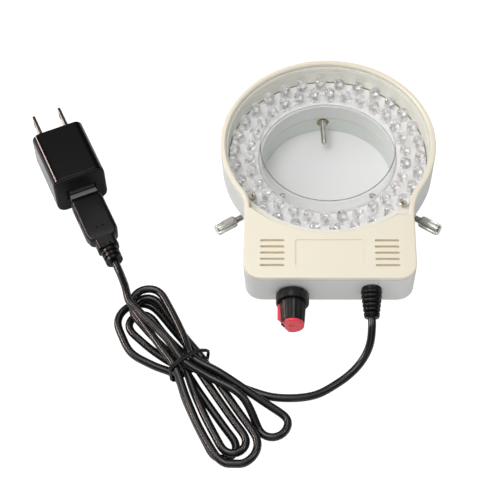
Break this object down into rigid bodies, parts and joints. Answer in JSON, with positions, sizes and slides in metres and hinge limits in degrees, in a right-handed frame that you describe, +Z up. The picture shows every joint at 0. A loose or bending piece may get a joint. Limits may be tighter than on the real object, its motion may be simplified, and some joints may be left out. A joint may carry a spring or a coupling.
{
  "type": "microscope ring light",
  "caption": "Adjustable ring light that clamps round a microscope's lens barrel, with a dimmer knob and a tied-up USB lead in a plug-in mains charger.",
  "frame": {"origin": "under the middle of the lamp head's own box, on the table, without the cord and what is on it", "axes": "+Z up along the bore's axis, -Y towards the control block and the dimmer knob, +X to the right as the knob is faced"},
  "size_m": [0.1924, 0.2068, 0.03],
  "materials": {
    "cream_plastic": "satin",
    "light_grey_plastic": "satin",
    "collar_plastic": "satin",
    "clear_plastic": "gloss",
    "led_board": "satin",
    "green_board": "satin",
    "screw_steel": "satin",
    "nickel": "satin",
    "brass_insert": "satin",
    "black_plastic": "satin",
    "red_plastic": "satin",
    "cord_black": "semi-gloss",
    "tie_black": "matte",
    "case_black": "gloss",
    "tongue_white": "matte"
  },
  "bodies": {
    "head": {"case_screw_front": "screw_steel", "case_screw_left": "screw_steel", "case_screw_right": "screw_steel", "clear_cover": "clear_plastic", "control_board": "green_board", "cord_hank": "cord_black", "cord_lead": "cord_black", "cord_tail": "cord_black", "cover_screw_left": "screw_steel", "cover_screw_right": "screw_steel", "insert_left": "brass_insert", "insert_rear": "brass_insert", "insert_right": "brass_insert", "led_board": "led_board", "lower_housing": "light_grey_plastic", "mounting_collar": "collar_plastic", "pot_body": "green_board", "pot_nut": "screw_steel", "strain_relief": "cord_black", "top_shell": "cream_plastic", "twist_tie": "tie_black", "usb_overmould": "cord_black", "usb_shell": "nickel", "usb_tongue": "tongue_white"},
    "dimmer": {"knob": "black_plastic", "knob_insert": "red_plastic", "pot_shaft": "screw_steel"},
    "charger": {"charger_case": "case_black", "charger_end_cap": "case_black", "charger_socket": "screw_steel", "charger_board": "green_board", "blade_left": "nickel", "blade_right": "nickel"},
    "rear_screw": {"rear_screw_shank": "screw_steel"},
    "rear_grip": {"rear_screw_head": "nickel"},
    "left_screw": {"left_screw_shank": "screw_steel"},
    "left_grip": {"left_screw_head": "nickel"},
    "right_screw": {"right_screw_shank": "screw_steel"},
    "right_grip": {"right_screw_head": "nickel"}
  },
  "joints": [
    {"name": "dimmer_turn", "type": "hinge", "parent": "head", "child": "dimmer", "pos_m": [-0.0161, -0.05628, 0.017], "axis": [0, 1, 0], "range_deg": [-60, 240]},
    {"name": "rear_screw_travel", "type": "slide", "parent": "head", "child": "rear_screw", "axis": [-0.0523, 0.9986, 0], "range_m": [-0.008, 0.013]},
    {"name": "rear_screw_turn", "type": "hinge", "parent": "rear_screw", "child": "rear_grip", "pos_m": [-0.00233, 0.06266, 0.006], "axis": [-0.0523, 0.9986, 0], "range_deg": [-5760, 9360]},
    {"name": "left_screw_travel", "type": "slide", "parent": "head", "child": "left_screw", "axis": [-0.8387, -0.5446, 0], "range_m": [-0.012, 0.007]},
    {"name": "left_screw_turn", "type": "hinge", "parent": "left_screw", "child": "left_grip", "pos_m": [-0.04235, -0.00929, 0.006], "axis": [-0.8387, -0.5446, 0], "range_deg": [-8640, 5040]},
    {"name": "right_screw_travel", "type": "slide", "parent": "head", "child": "right_screw", "axis": [0.8387, -0.5446, 0], "range_m": [-0.012, 0.007]},
    {"name": "right_screw_turn", "type": "hinge", "parent": "right_screw", "child": "right_grip", "pos_m": [0.04235, -0.00929, 0.006], "axis": [0.8387, -0.5446, 0], "range_deg": [-8640, 5040]},
    {"name": "charger_pull", "type": "slide", "parent": "head", "child": "charger", "axis": [-0.4147, 0.91, 0], "range_m": [0, 0.0133]}
  ],
  "couplings": [
    {"joint": "rear_screw_turn", "follows": "rear_screw_travel", "rad_per_m": 12566},
    {"joint": "left_screw_turn", "follows": "left_screw_travel", "rad_per_m": 12566},
    {"joint": "right_screw_turn", "follows": "right_screw_travel", "rad_per_m": 12566}
  ]
}
